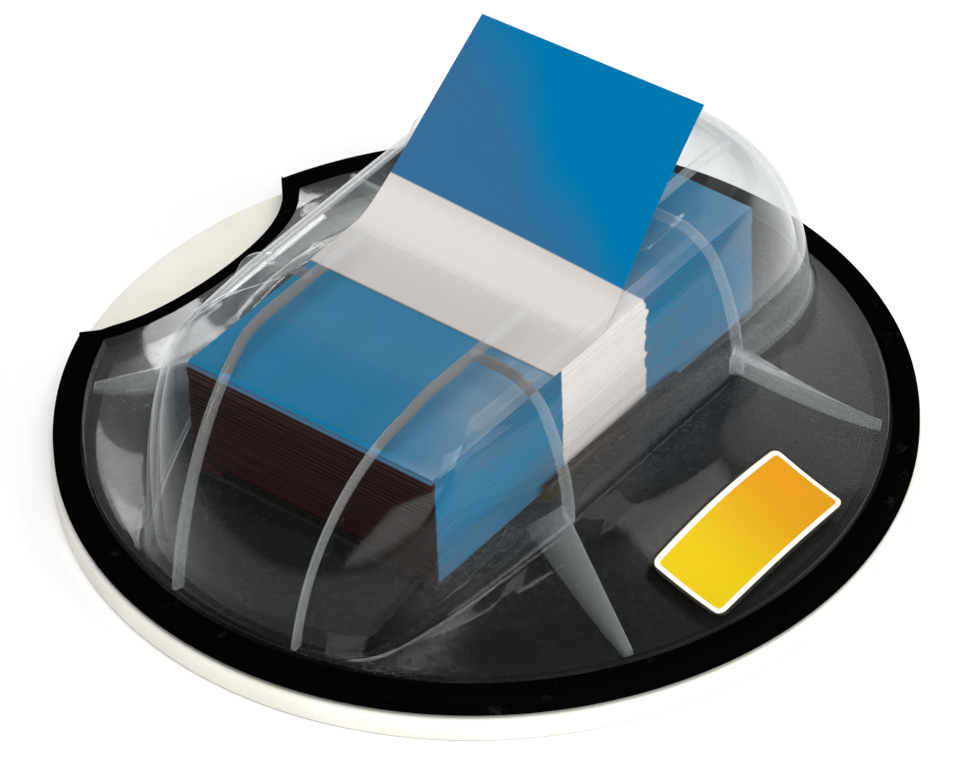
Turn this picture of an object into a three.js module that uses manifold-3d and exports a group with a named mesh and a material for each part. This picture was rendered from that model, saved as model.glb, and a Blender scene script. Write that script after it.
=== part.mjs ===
// A desk dispenser for sticky index tabs: a black disc on a pale grip pad carries a folded pad of
// tabs under a clear moulded cover, and the next tab stands up through the slot in the cover's top.
// Millimetres, +Z up. X runs across the tabs and Y along them, with the sloping front wall at -Y,
// the finger notch at -X and the label at +X. The origin is the middle of the disc's underside.
import * as THREE from 'three';
import { mergeVertices } from 'three/addons/utils/BufferGeometryUtils.js';
import { ConvexGeometry } from 'three/addons/geometries/ConvexGeometry.js';
import Module from 'manifold-3d';

const wasm = await Module();
wasm.setup();

// The tabs
const TAB_WIDTH = 25.4;
const TAB_LENGTH = 43.2;
const TAB_THICKNESS = 0.2;
const PAD_HEIGHT = 11.1;
const PAD_SETBACK = 1.1; // the pad sits this far forward of the disc's middle
const LEAF_COUNT = 12; // bundles of tabs that show as steps at the pad's ends
const LEAF_STAGGER = 0.3; // alternate bundles are this much shorter at each end

// The tab that stands up: its two side edges are curves in the plane of Y and Z
const RAISED_FLAT = 21.2; // length that still lies on the pad, forward of the lift
const RAISED_LEFT = { y: 17.8, z: 10.8 }; // from the lift to the top corner, notch side
const RAISED_RIGHT = { y: 14.7, z: 14.8 }; // from the lift to the top corner, label side
const RAISED_BEND_LEFT = [{ y: 2.7, z: 0.05 }, { y: 6.2, z: 3.2 }];
const RAISED_BEND_RIGHT = [{ y: 2.1, z: 0.05 }, { y: 3.1, z: 4.3 }];
const RAISED_LIFT = -0.7; // where the tab leaves the pad

// Disc and grip pad
const GRIP_THICKNESS = 2.2;
const GRIP_OVERHANG = 0.3;
const GRIP_ROUND = 0.5;
const END_ROOM = 14.6; // from the pad's half length out to the disc's edge
const RIM_WIDTH = 2.2;
const RIM_HEIGHT = 2.1;
const RIM_ROUND = 0.7;
const SEAT_DEPTH = 1.2; // the cover's edge stands this deep behind the rim
const SEAT_WIDTH = 1.6;
const FLOOR_HEIGHT = 5; // the pad's floor above the grip pad
const FENCE_HEIGHT = 1.4;
const FENCE_WIDTH = 0.8;
const FENCE_LENGTH = 18;

// Finger notch
const NOTCH_RADIUS = 17.8;
const NOTCH_DEPTH = 8.4; // from the disc's edge inwards
const NOTCH_SHIFT = 1; // towards the back
const LIP_WIDTH = 1.2;
const LIP_RISE = 0.3; // above the cover's skirt

// Clear cover
const WALL = 0.9;
const CLEARANCE = 0.3;
const SKIRT_RISE = 4.7;
const SKIRT_FLARE = 1.45; // power of the skirt's hollow curve
const SIDE_ROOM = 5.1; // pad side to the housing's outside
const TOP_ROOM = 3.7; // pad top to the housing's outside
const EDGE_LEDGE = 0.2; // housing foot to the cover's edge, front and back
const MID_HALF_LENGTH = 11.8; // the stretch with straight sides
const SIDE_LEAN = 3.6;
const SIDE_LEAN_POWER = 2.2;
const SHOULDER_ROUND = 2.5;
const FRONT_LEAN = 2;
const FRONT_ROUND = 14.6;
const BACK_LEAN = 1.5;
const BACK_ROUND = 10;
const FRONT_BOW = 2.4; // how far the front wall bows out at its foot
const FRONT_BOW_MIDDLE = 1.4; // what the bow gains half way up
const FRONT_BOW_TOP = 0.6;
const CORNER_TAPER = 6.2; // the front corners' foot lies this far inside the straight sides
const CORNER_TAPER_POWER = 1.2;
const CORNER_ROUND = 0.22; // share of the front and of the flank that turns the corner
const FLANK_PULL = { x: 0.5, y: 0.72 }; // how full the flanks curve behind the front corners
const TAIL_PULL = { x: 0.89, y: 0.67 }; // how far the straight sides run on into the back's curve
const TAIL_SQUARE = 0.75; // how square the back is
const SLOT_SIDE_ROOM = 0.6;
const SLOT_FRONT = 4.6; // forward of the disc's middle
const SLOT_BACK = 7;
const SLOT_WAVE = 0.4;
const SLOT_WAVES = 3;

// Ribs moulded on the cover
const RIB_RISE = 0.5;
const RIB_WIDTH = 0.8;
const LONG_RIB_INSET = 4.3; // inside the pad's side, along the top
const LONG_RIB_FOOT_INSET = 6.7; // inside the pad's side, at the front foot
const LONG_RIB_BEND = 20; // forward of the middle, where the ribs start to close in
const LONG_RIB_BACK = 23;
const BUTTRESS_ROOT_WIDTH = 3;
const BUTTRESS_TIP_WIDTH = 0.6;
const BUTTRESS_REACH = 10.3;
const BUTTRESS_SPLAY = 5.5;
const BUTTRESS_RISE = 1.1;

// Blank label on the skirt
const LABEL_LENGTH = 17.5;
const LABEL_WIDTH = 7.4;
const LABEL_THICKNESS = 0.15;
const LABEL_CORNER = 1;
const LABEL_MARGIN = 1.9; // from the label to the cover's edge
const LABEL_SHIFT = 1.2; // towards the front
const LABEL_LIFT = 0.1;

// Fineness of the curved faces
const TURN_STEPS = 72;
const SKIRT_STEPS = 8;
const HOUSING_LEVELS = 12;
const OUTLINE_STEPS = 6;
const RIM_ANGLES = [0, 30, 60, 90];

// Sizes that follow from the ones above
const discRadius = TAB_LENGTH / 2 + END_ROOM;
const rimTop = GRIP_THICKNESS + RIM_HEIGHT;
const rimInner = discRadius - RIM_WIDTH;
const seatHeight = rimTop - SEAT_DEPTH;
const coverRadius = rimInner - CLEARANCE;
const coverFoot = seatHeight + CLEARANCE;
const padFloor = GRIP_THICKNESS + FLOOR_HEIGHT;
const padTop = padFloor + PAD_HEIGHT;
const halfWidth = TAB_WIDTH / 2 + SIDE_ROOM;
const housingReach = coverRadius - EDGE_LEDGE;
const housingTop = padTop + TOP_ROOM;
const crownRadius = Math.hypot(halfWidth, MID_HALF_LENGTH);
const crownTop = rimTop + SKIRT_RISE;
const notchCentre = -(discRadius - NOTCH_DEPTH + NOTCH_RADIUS);
const BELOW = 5; // how far cutters and hidden roots run past the faces they cut or join

const mix = THREE.MathUtils.lerp;

// Turns a closed three.js geometry into a solid for joining and cutting.
function toSolid(geometry) {
  geometry.deleteAttribute('normal');
  geometry.deleteAttribute('uv');
  const merged = mergeVertices(geometry, 1e-5);
  const corners = merged.index.array;
  const triVerts = [];
  for (let i = 0; i < corners.length; i += 3) {
    const [a, b, c] = corners.slice(i, i + 3);
    if (a !== b && b !== c && c !== a) triVerts.push(a, b, c);
  }
  const vertProperties = new Float32Array(merged.attributes.position.array);
  const mesh = { numProp: 3, vertProperties, triVerts: new Uint32Array(triVerts) };
  return new wasm.Manifold(new wasm.Mesh(mesh));
}

// Turns a solid back into a geometry with flat-shaded faces.
function toGeometry(solid) {
  const { vertProperties, triVerts } = solid.getMesh();
  const geometry = new THREE.BufferGeometry();
  geometry.setAttribute('position', new THREE.BufferAttribute(new Float32Array(vertProperties), 3));
  geometry.setIndex(new THREE.BufferAttribute(new Uint32Array(triVerts), 1));
  geometry.computeVertexNormals();
  return geometry;
}

// A turned solid from [radius, height] points that run up the outside, from axis to axis.
function turned(points) {
  const profile = points.map(([radius, height]) => new THREE.Vector2(radius, height));
  return toSolid(new THREE.LatheGeometry(profile, TURN_STEPS).rotateX(Math.PI / 2));
}

// A post with the plan of a shape, between two heights.
function post(shape, low, high) {
  const options = { depth: high - low, bevelEnabled: false, curveSegments: 1 };
  const geometry = new THREE.ExtrudeGeometry(shape, options);
  return toSolid(geometry.translate(0, 0, low));
}

// A box between two corners.
function block([x0, y0, z0], [x1, y1, z1]) {
  const box = new THREE.BoxGeometry(x1 - x0, y1 - y0, z1 - z0);
  return toSolid(box.translate((x0 + x1) / 2, (y0 + y1) / 2, (z0 + z1) / 2));
}

// An upright round post about the finger notch's centre.
function notchPost(radius) {
  const post = new THREE.CylinderGeometry(radius, radius, 8 * BELOW, TURN_STEPS).rotateX(Math.PI / 2);
  return toSolid(post.translate(notchCentre, NOTCH_SHIFT, 4 * BELOW + GRIP_THICKNESS));
}

// A solid through a stack of rings, each an anticlockwise list of the same number of points.
function loft(rings) {
  const count = rings[0].length;
  const index = [];
  for (let level = 0; level < rings.length - 1; level++) {
    for (let i = 0; i < count; i++) {
      const a = level * count + i;
      const b = level * count + ((i + 1) % count);
      index.push(a, b, b + count, a, b + count, a + count);
    }
  }
  const flat = (ring) => ring.map((p) => new THREE.Vector2(p.x, p.y));
  const lid = (ring) => THREE.ShapeUtils.triangulateShape(flat(ring), []);
  const last = (rings.length - 1) * count;
  for (const [a, b, c] of lid(rings[0])) index.push(a, c, b);
  for (const [a, b, c] of lid(rings.at(-1))) index.push(last + a, last + b, last + c);
  const geometry = new THREE.BufferGeometry().setFromPoints(rings.flat());
  return toSolid(geometry.setIndex(index));
}

// A thin closed sheet over the surface point(u, v), thickened straight up.
function sheet(point, uSteps, vSteps, thickness) {
  const index = [];
  const points = [];
  const rows = vSteps + 1;
  const layer = (uSteps + 1) * rows;
  for (const lift of [0, thickness]) {
    for (let i = 0; i <= uSteps; i++) {
      for (let j = 0; j <= vSteps; j++) {
        const [x, y, z] = point(i / uSteps, j / vSteps);
        points.push(new THREE.Vector3(x, y, z + lift));
      }
    }
  }
  for (let i = 0; i < uSteps; i++) {
    for (let j = 0; j < vSteps; j++) {
      const a = i * rows + j;
      index.push(a, a + 1, a + rows + 1, a, a + rows + 1, a + rows);
      const c = a + layer;
      index.push(c, c + rows + 1, c + 1, c, c + rows, c + rows + 1);
    }
  }
  const edge = [];
  for (let j = 0; j < vSteps; j++) edge.push(j);
  for (let i = 0; i < uSteps; i++) edge.push(i * rows + vSteps);
  for (let j = vSteps; j > 0; j--) edge.push(uSteps * rows + j);
  for (let i = uSteps; i > 0; i--) edge.push(i * rows);
  edge.forEach((a, k) => {
    const b = edge[(k + 1) % edge.length];
    index.push(a, b + layer, b, a, a + layer, b + layer);
  });
  return toSolid(new THREE.BufferGeometry().setFromPoints(points).setIndex(index));
}

// Height of the cover's skirt: level under the housing, then a hollow flare down to the rim.
function skirtHeight(radius) {
  const out = THREE.MathUtils.clamp((rimInner - radius) / (rimInner - crownRadius), 0, 1);
  return rimTop + SKIRT_RISE * out ** SKIRT_FLARE;
}

// The skirt's profile from its edge in to the axis, lowered by a drop.
function skirtProfile(edge, drop) {
  const points = [];
  for (let i = 0; i <= SKIRT_STEPS; i++) {
    const radius = mix(edge, crownRadius, i / SKIRT_STEPS);
    points.push([radius, skirtHeight(radius) - drop]);
  }
  return [...points, [0, crownTop - drop]];
}

// One side's outline of the housing at a rise from 0 at its foot to 1 at its top, front to back.
function housingOutline(rise) {
  const height = mix(rimTop, housingTop, rise);
  const upright = Math.max(0, (height - crownTop) / (housingTop - crownTop));
  const intoRound = Math.max(0, height - (housingTop - SHOULDER_ROUND));
  const shoulder = SHOULDER_ROUND - Math.sqrt(Math.max(0, SHOULDER_ROUND ** 2 - intoRound ** 2));
  const round = 1 - Math.sqrt(1 - rise ** 2);
  const side = halfWidth - SIDE_LEAN * upright ** SIDE_LEAN_POWER - shoulder;
  const front = -(housingReach - FRONT_LEAN * rise - FRONT_ROUND * round);
  const back = housingReach - BACK_LEAN * rise - BACK_ROUND * round;
  const bow = mix(FRONT_BOW, FRONT_BOW_TOP, rise ** 3) + FRONT_BOW_MIDDLE * Math.sin(Math.PI * rise);
  const taper = CORNER_TAPER * (1 - rise ** CORNER_TAPER_POWER);
  const corner = new THREE.Vector2(side - taper, front + bow);
  const sideFront = new THREE.Vector2(side, -MID_HALF_LENGTH);
  const sideBack = new THREE.Vector2(side, MID_HALF_LENGTH);
  const flank = new THREE.QuadraticBezierCurve(
    corner, new THREE.Vector2(mix(corner.x, side, FLANK_PULL.x), mix(sideFront.y, corner.y, FLANK_PULL.y)),
    sideFront);
  const frontPoint = (across) => new THREE.Vector2(
    corner.x * across, mix(front, corner.y, across ** 2));
  const turn = new THREE.QuadraticBezierCurve(
    frontPoint(1 - CORNER_ROUND), corner, flank.getPoint(CORNER_ROUND));
  const tail = new THREE.CubicBezierCurve(
    sideBack, new THREE.Vector2(side * TAIL_PULL.x, mix(MID_HALF_LENGTH, back, TAIL_PULL.y)),
    new THREE.Vector2(side * TAIL_SQUARE, back), new THREE.Vector2(0, back));
  const points = [];
  const share = (i) => i / OUTLINE_STEPS;
  for (let i = 0; i < OUTLINE_STEPS; i++) points.push(frontPoint((1 - CORNER_ROUND) * share(i)));
  points.push(...turn.getPoints(OUTLINE_STEPS - 1));
  for (let i = 1; i < OUTLINE_STEPS; i++) points.push(flank.getPoint(mix(CORNER_ROUND, 1, share(i))));
  return { height, points: [...points, sideFront, ...tail.getPoints(2 * OUTLINE_STEPS)] };
}

// The whole ring of the housing at a rise.
function housingRing(rise) {
  const { height, points } = housingOutline(rise);
  const mirrored = points.slice(1, -1).reverse().map((p) => new THREE.Vector2(-p.x, p.y));
  return [...points, ...mirrored].map((p) => new THREE.Vector3(p.x, p.y, height));
}

// The housing as a solid, moved outwards along its surface by an offset and run down to a foot.
function housing(offset, foot) {
  const rings = [];
  for (let i = 0; i <= HOUSING_LEVELS; i++) {
    rings.push(housingRing(Math.sin((i / HOUSING_LEVELS) * Math.PI / 2)));
  }
  const count = rings[0].length;
  const moved = rings.map((ring, level) => ring.map((p, i) => {
    if (level === HOUSING_LEVELS) return new THREE.Vector3(p.x, p.y, p.z + offset);
    const along = ring[(i + 1) % count].clone().sub(ring[(i + count - 1) % count]);
    const up = rings[level + 1][i].clone().sub(rings[Math.max(0, level - 1)][i]);
    const normal = along.cross(up).normalize();
    if (level === 0) normal.setZ(0).normalize();
    return p.clone().addScaledVector(normal, offset);
  }));
  return loft([moved[0].map((p) => new THREE.Vector3(p.x, p.y, foot)), ...moved]);
}

// Everything that stands proud of the housing before it is trimmed to the ribs' height.
function ribSlabs() {
  const top = housingTop + BELOW;
  const inner = TAB_WIDTH / 2 - LONG_RIB_INSET;
  const foot = TAB_WIDTH / 2 - LONG_RIB_FOOT_INSET;
  const half = RIB_WIDTH / 2;
  const slabs = [];
  for (const side of [-1, 1]) {
    const plan = [[inner + half, LONG_RIB_BACK], [inner - half, LONG_RIB_BACK], [inner - half, -LONG_RIB_BEND],
      [foot - half, -coverRadius], [foot + half, -coverRadius], [inner + half, -LONG_RIB_BEND]];
    slabs.push(post(new THREE.Shape(plan.map(([x, y]) => new THREE.Vector2(side * x, y))), coverFoot, top));
    for (const end of [-1, 1]) {
      const edges = [end * (MID_HALF_LENGTH - RIB_WIDTH), end * MID_HALF_LENGTH].sort((a, b) => a - b);
      const reach = [side * inner, side * (halfWidth + RIB_RISE)].sort((a, b) => a - b);
      slabs.push(block([reach[0], edges[0], coverFoot], [reach[1], edges[1], top]));
    }
  }
  return slabs;
}

// One fin from a corner of the straight sides down the skirt, narrow at its tip.
function buttress(side, end) {
  const tip = { x: halfWidth + BUTTRESS_REACH, y: MID_HALF_LENGTH + BUTTRESS_SPLAY };
  const tipTop = skirtHeight(Math.hypot(tip.x, tip.y)) + BUTTRESS_RISE / 4;
  const root = [halfWidth - WALL, MID_HALF_LENGTH];
  const corners = [
    [root[0], root[1] - RIB_WIDTH, crownTop + BUTTRESS_RISE],
    [root[0], root[1] + BUTTRESS_ROOT_WIDTH, crownTop],
    [root[0], root[1], crownTop + BUTTRESS_RISE],
    [tip.x, tip.y, tipTop],
    [tip.x, tip.y - BUTTRESS_TIP_WIDTH, tipTop],
  ];
  const points = corners.flatMap(([x, y, z]) => (
    [z, coverFoot].map((height) => new THREE.Vector3(side * x, end * y, height))));
  return toSolid(new ConvexGeometry(points));
}

// The slot that lets the next tab out, with a gently waved back edge.
function slotCutter() {
  const reach = TAB_WIDTH / 2 + SLOT_SIDE_ROOM;
  const steps = SLOT_WAVES * 8;
  const plan = [new THREE.Vector2(-reach, -SLOT_FRONT), new THREE.Vector2(reach, -SLOT_FRONT)];
  for (let i = 0; i <= steps; i++) {
    const x = mix(reach, -reach, i / steps);
    const wave = (1 - Math.cos((i / steps) * SLOT_WAVES * 2 * Math.PI)) / 2;
    plan.push(new THREE.Vector2(x, SLOT_BACK - SLOT_WAVE * wave));
  }
  return post(new THREE.Shape(plan), padTop + TOP_ROOM / 2, housingTop + BELOW);
}

function makeGripPad() {
  const radius = discRadius + GRIP_OVERHANG;
  return turned([[0, 0], [radius - GRIP_ROUND, 0], [radius, GRIP_ROUND], [radius, GRIP_THICKNESS - GRIP_ROUND],
    [radius - GRIP_ROUND, GRIP_THICKNESS], [0, GRIP_THICKNESS]]);
}

// The black disc: rim, seat for the cover, dome, pad floor with fences, notch and lip.
function makeBase() {
  const seatInner = rimInner - SEAT_WIDTH;
  const rim = RIM_ANGLES.map((angle) => THREE.MathUtils.degToRad(angle)).map((angle) => [
    discRadius - RIM_ROUND * (1 - Math.cos(angle)), rimTop - RIM_ROUND * (1 - Math.sin(angle))]);
  const disc = turned([[0, GRIP_THICKNESS], [discRadius - GRIP_ROUND, GRIP_THICKNESS],
    [discRadius, GRIP_THICKNESS + GRIP_ROUND], ...rim, [rimInner, rimTop], [rimInner, seatHeight],
    [seatInner, seatHeight], ...skirtProfile(seatInner, WALL + CLEARANCE)]);
  const lip = turned([[0, GRIP_THICKNESS], [rimInner, GRIP_THICKNESS], ...skirtProfile(rimInner, -LIP_RISE)])
    .intersect(notchPost(NOTCH_RADIUS + LIP_WIDTH));
  const padHalf = [TAB_WIDTH / 2, TAB_LENGTH / 2];
  const floor = block([-padHalf[0], -padHalf[1] - PAD_SETBACK, GRIP_THICKNESS + RIM_ROUND],
    [padHalf[0], padHalf[1] - PAD_SETBACK, padFloor]);
  const pocket = block([-padHalf[0] - CLEARANCE, -padHalf[1] - CLEARANCE - PAD_SETBACK, padFloor],
    [padHalf[0] + CLEARANCE, padHalf[1] + CLEARANCE - PAD_SETBACK, housingTop]);
  return disc.add(lip).add(floor).subtract(pocket).add(fences()).subtract(notchPost(NOTCH_RADIUS));
}

// Low fences that keep the pad in place: one along each side and one across each end.
function fences() {
  const inner = [TAB_WIDTH / 2 + CLEARANCE, TAB_LENGTH / 2 + CLEARANCE];
  const half = FENCE_LENGTH / 2;
  const low = GRIP_THICKNESS + RIM_ROUND;
  const high = padFloor + FENCE_HEIGHT;
  const walls = [];
  for (const end of [-1, 1]) {
    const across = [end * inner[1], end * (inner[1] + FENCE_WIDTH)].sort((a, b) => a - b);
    const along = [end * inner[0], end * (inner[0] + FENCE_WIDTH)].sort((a, b) => a - b);
    walls.push(block([-half, across[0] - PAD_SETBACK, low], [half, across[1] - PAD_SETBACK, high]));
    walls.push(block([along[0], -half, low], [along[1], half, high]));
  }
  return wasm.Manifold.union(walls);
}

// The clear cover: skirt, housing, ribs and buttresses in one even wall, open below and at the slot.
function makeCover() {
  const edge = coverRadius - WALL;
  const outside = turned([[0, coverFoot], [coverRadius, coverFoot], ...skirtProfile(coverRadius, 0)])
    .add(housing(0, coverFoot));
  const ribs = wasm.Manifold.union(ribSlabs()).intersect(housing(RIB_RISE, coverFoot));
  const fins = [-1, 1].flatMap((side) => [-1, 1].map((end) => buttress(side, end)));
  const envelope = turned([[0, coverFoot], [coverRadius, coverFoot], [coverRadius, housingTop + BELOW],
    [0, housingTop + BELOW]]);
  const inside = turned([[0, coverFoot - BELOW], [edge, coverFoot - BELOW], ...skirtProfile(edge, WALL)])
    .add(housing(-WALL, coverFoot - BELOW));
  return outside.add(ribs).add(wasm.Manifold.union(fins)).intersect(envelope).subtract(inside)
    .subtract(slotCutter()).subtract(notchPost(NOTCH_RADIUS + LIP_WIDTH + CLEARANCE));
}

// The pad of tabs: bundles that end a little short of each other in turn.
function makePad() {
  const half = TAB_LENGTH / 2;
  const leaf = PAD_HEIGHT / LEAF_COUNT;
  const end = (direction) => {
    const points = [];
    for (let i = 0; i < LEAF_COUNT; i++) {
      const y = direction * (half - (i % 2) * LEAF_STAGGER);
      points.push(new THREE.Vector2(y, i * leaf), new THREE.Vector2(y, (i + 1) * leaf));
    }
    return points;
  };
  const outline = new THREE.Shape([...end(1), ...end(-1).reverse()]);
  const geometry = new THREE.ExtrudeGeometry(outline, { depth: TAB_WIDTH, bevelEnabled: false });
  geometry.translate(0, 0, -TAB_WIDTH / 2).rotateX(Math.PI / 2).rotateZ(Math.PI / 2);
  return toSolid(geometry.translate(0, -PAD_SETBACK, padFloor));
}

// The raised tab: flat on the pad up to its lift, then ruled between its two curved side edges.
function makeRaisedTab() {
  const edgeCurve = (bend, top) => new THREE.CubicBezierCurve(new THREE.Vector2(0, 0),
    ...[...bend, top].map(({ y, z }) => new THREE.Vector2(y, z)));
  const left = edgeCurve(RAISED_BEND_LEFT, RAISED_LEFT);
  const right = edgeCurve(RAISED_BEND_RIGHT, RAISED_RIGHT);
  const flatSteps = 2;
  const bendSteps = 18;
  const surface = (u, v) => {
    const step = Math.round(v * (flatSteps + bendSteps));
    const x = mix(-TAB_WIDTH / 2, TAB_WIDTH / 2, u);
    if (step <= flatSteps) return [x, RAISED_LIFT - RAISED_FLAT * (1 - step / flatSteps), padTop];
    const along = (step - flatSteps) / bendSteps;
    const point = left.getPoint(along).lerp(right.getPoint(along), u);
    return [x, RAISED_LIFT + point.x, padTop + point.y];
  };
  return sheet(surface, 6, flatSteps + bendSteps, TAB_THICKNESS);
}

// A blank label with round corners that follows the skirt.
function makeLabel() {
  const outer = coverRadius - LABEL_MARGIN;
  const centre = outer - LABEL_WIDTH / 2;
  const surface = (u, v) => {
    const y = (v - 0.5) * LABEL_LENGTH;
    const intoCorner = Math.max(0, Math.abs(y) - (LABEL_LENGTH / 2 - LABEL_CORNER));
    const trim = LABEL_CORNER - Math.sqrt(Math.max(0, LABEL_CORNER ** 2 - intoCorner ** 2));
    const x = centre + (2 * u - 1) * (LABEL_WIDTH / 2 - trim);
    return [x, y - LABEL_SHIFT, skirtHeight(Math.hypot(x, y - LABEL_SHIFT)) + LABEL_LIFT];
  };
  return sheet(surface, 8, 16, LABEL_THICKNESS);
}

const material = (color, roughness, extra = {}) => (
  new THREE.MeshStandardMaterial({ color, roughness, ...extra }));

function named(name, solid, finish) {
  const mesh = new THREE.Mesh(toGeometry(solid), finish);
  mesh.name = name;
  return mesh;
}

const dispenser = new THREE.Group();
dispenser.add(
  named('grip_pad', makeGripPad(), material(0xe9e7e2, 0.8)),
  named('base', makeBase(), material(0x0b0b0c, 0.35)),
  named('cover', makeCover(), material(0xdfe6e6, 0.08, { transparent: true, opacity: 0.3 })),
  named('tab_pad', makePad(), material(0x0072b0, 0.6)),
  named('raised_tab', makeRaisedTab(), material(0x0072b0, 0.45)),
  named('blank_label', makeLabel(), material(0xf2c21a, 0.4)),
);

export default dispenser;
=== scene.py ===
"""Sticky index tabs in a round desk dispenser, dressed for the render.

Lengths are written in millimetres and become metres when a mesh is made. X runs across the tabs
and Y along them; the sloping front wall is at -Y, the finger notch at -X and the label at +X.
"""
import logging
import math
from collections.abc import Mapping, Sequence
from dataclasses import dataclass, field
from enum import Enum
from typing import Any
import bmesh
import bpy
import numpy as np
from mathutils import Matrix, Vector


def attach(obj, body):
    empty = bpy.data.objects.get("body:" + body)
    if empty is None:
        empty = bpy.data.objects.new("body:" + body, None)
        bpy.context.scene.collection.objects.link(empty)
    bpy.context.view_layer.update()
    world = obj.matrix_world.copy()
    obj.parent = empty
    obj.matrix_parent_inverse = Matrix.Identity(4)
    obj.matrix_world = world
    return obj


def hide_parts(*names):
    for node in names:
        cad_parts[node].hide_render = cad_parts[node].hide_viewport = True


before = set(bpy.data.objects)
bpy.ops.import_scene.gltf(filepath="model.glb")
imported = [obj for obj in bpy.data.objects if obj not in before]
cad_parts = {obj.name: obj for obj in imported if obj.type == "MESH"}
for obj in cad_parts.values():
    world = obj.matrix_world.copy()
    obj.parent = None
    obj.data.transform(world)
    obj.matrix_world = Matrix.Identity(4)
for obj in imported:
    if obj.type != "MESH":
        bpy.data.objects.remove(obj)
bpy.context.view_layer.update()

LOG = logging.getLogger("dispenser")
MM = 0.001
SEED = 7

# Sizes that several pieces share
DISC_RADIUS = 36.2
RIM_TOP = 4.3
RIM_INNER = 34.0
GRIP_TOP = 2.2
CROWN_RADIUS = 21.36
CROWN_TOP = 9.0
SKIRT_RISE = 4.7
SKIRT_FLARE = 1.45
HOUSING_TOP = 22.0
PAD_FLOOR = 7.2
PAD_TOP = 18.3
PAD_HALF = (12.7, 21.6)
PAD_MIDDLE = -1.1
NOTCH_MIDDLE = (-45.6, 1.0)
NOTCH_RADIUS = 17.8
LIP_WIDTH = 1.2
CLEARANCE = 0.3
WALL = 0.9
BAND_HALF = 5.6  # the clear middle of a tab runs this far either side of the disc's middle

Colour = tuple[float, float, float, float]


def mix(low: Any, high: Any, share: Any) -> Any:
    """Returns the value a share of the way from low to high."""
    return low + (high - low) * share


def unit(vectors: np.ndarray) -> np.ndarray:
    """Returns the vectors at length one."""
    return vectors / np.maximum(np.linalg.norm(vectors, axis=-1, keepdims=True), 1e-12)


def srgb(red: int, green: int, blue: int) -> Colour:
    """Turns a screen colour of 0 to 255 into the linear colour that a shader takes.

    Args:
        red: The red part.
        green: The green part.
        blue: The blue part.

    Returns:
        Linear red, green and blue, and an alpha of one.
    """
    part = np.array([red, green, blue]) / 255.0
    linear = np.where(part <= 0.04045, part / 12.92, ((part + 0.055) / 1.055) ** 2.4)
    return (float(linear[0]), float(linear[1]), float(linear[2]), 1.0)


def skirt_height(radius: np.ndarray) -> np.ndarray:
    """Height of the cover's skirt over a radius.

    The rim's height plus the skirt's rise times a power of the way in from the rim to the crown.

    Args:
        radius: Distances from the disc's axis.

    Returns:
        Heights above the desk.
    """
    share = np.clip((RIM_INNER - radius) / (RIM_INNER - CROWN_RADIUS), 0.0, 1.0)
    return RIM_TOP + SKIRT_RISE * share ** SKIRT_FLARE


def circle_cut(radius: float, notch: float) -> float:
    """Half the angle that the notch takes out of a circle about the disc's axis.

    By the cosine rule on the triangle of the axis, the notch's middle and their crossing.

    Args:
        radius: The circle about the disc's axis.
        notch: The circle about the notch's middle.

    Returns:
        The half angle in radians.
    """
    apart = math.hypot(*NOTCH_MIDDLE)
    along = (apart ** 2 + radius ** 2 - notch ** 2) / (2 * apart)
    return math.acos(along / radius)


def notch_reach(angle: np.ndarray, notch: np.ndarray) -> np.ndarray:
    """Distance from the disc's axis to a circle about the notch's middle, along rays.

    The near root of the ray and circle equation; rays that miss it get a very long distance.

    Args:
        angle: Directions of the rays about the axis.
        notch: Radii about the notch's middle.

    Returns:
        Distances along the rays.
    """
    along = NOTCH_MIDDLE[0] * np.cos(angle) + NOTCH_MIDDLE[1] * np.sin(angle)
    root = along ** 2 - (NOTCH_MIDDLE[0] ** 2 + NOTCH_MIDDLE[1] ** 2 - notch ** 2)
    hit = (root > 0) & (along > 0)
    return np.where(hit, along - np.sqrt(np.maximum(root, 0.0)), 1e3)


@dataclass
class Patch:
    """A stretch of surface: points in millimetres, faces, and marks that a finish reads."""

    points: np.ndarray
    faces: list[Sequence[int]]
    marks: dict[str, np.ndarray] = field(default_factory=dict)
    finish: int = 0

    def mirrored(self) -> "Patch":
        """Returns the patch turned over to the other side of the middle."""
        return Patch(self.points * (-1.0, 1.0, 1.0), [face[::-1] for face in self.faces],
                     self.marks, self.finish)


def weave(grid: np.ndarray, wrap: bool = False, finish: int = 0, **marks: np.ndarray) -> Patch:
    """Joins a grid of points with four-sided faces.

    Seen from outside, columns run to the right and rows run up.

    Args:
        grid: Points, rows by columns by three.
        wrap: Whether the last column joins the first.
        finish: Which of the piece's finishes the faces take.
        **marks: Values at the points, rows by columns.

    Returns:
        The patch.
    """
    rows, columns = grid.shape[:2]
    index = np.arange(rows * columns).reshape(rows, columns)
    following = np.roll(index, -1, axis=1) if wrap else index[:, 1:]
    current = index if wrap else index[:, :-1]
    faces = np.stack([current[:-1], following[:-1], following[1:], current[1:]], axis=-1)
    flat = {name: np.broadcast_to(value, (rows, columns)).reshape(-1) for name, value in marks.items()}
    return Patch(grid.reshape(-1, 3), faces.reshape(-1, 4).tolist(), flat, finish)


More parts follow.
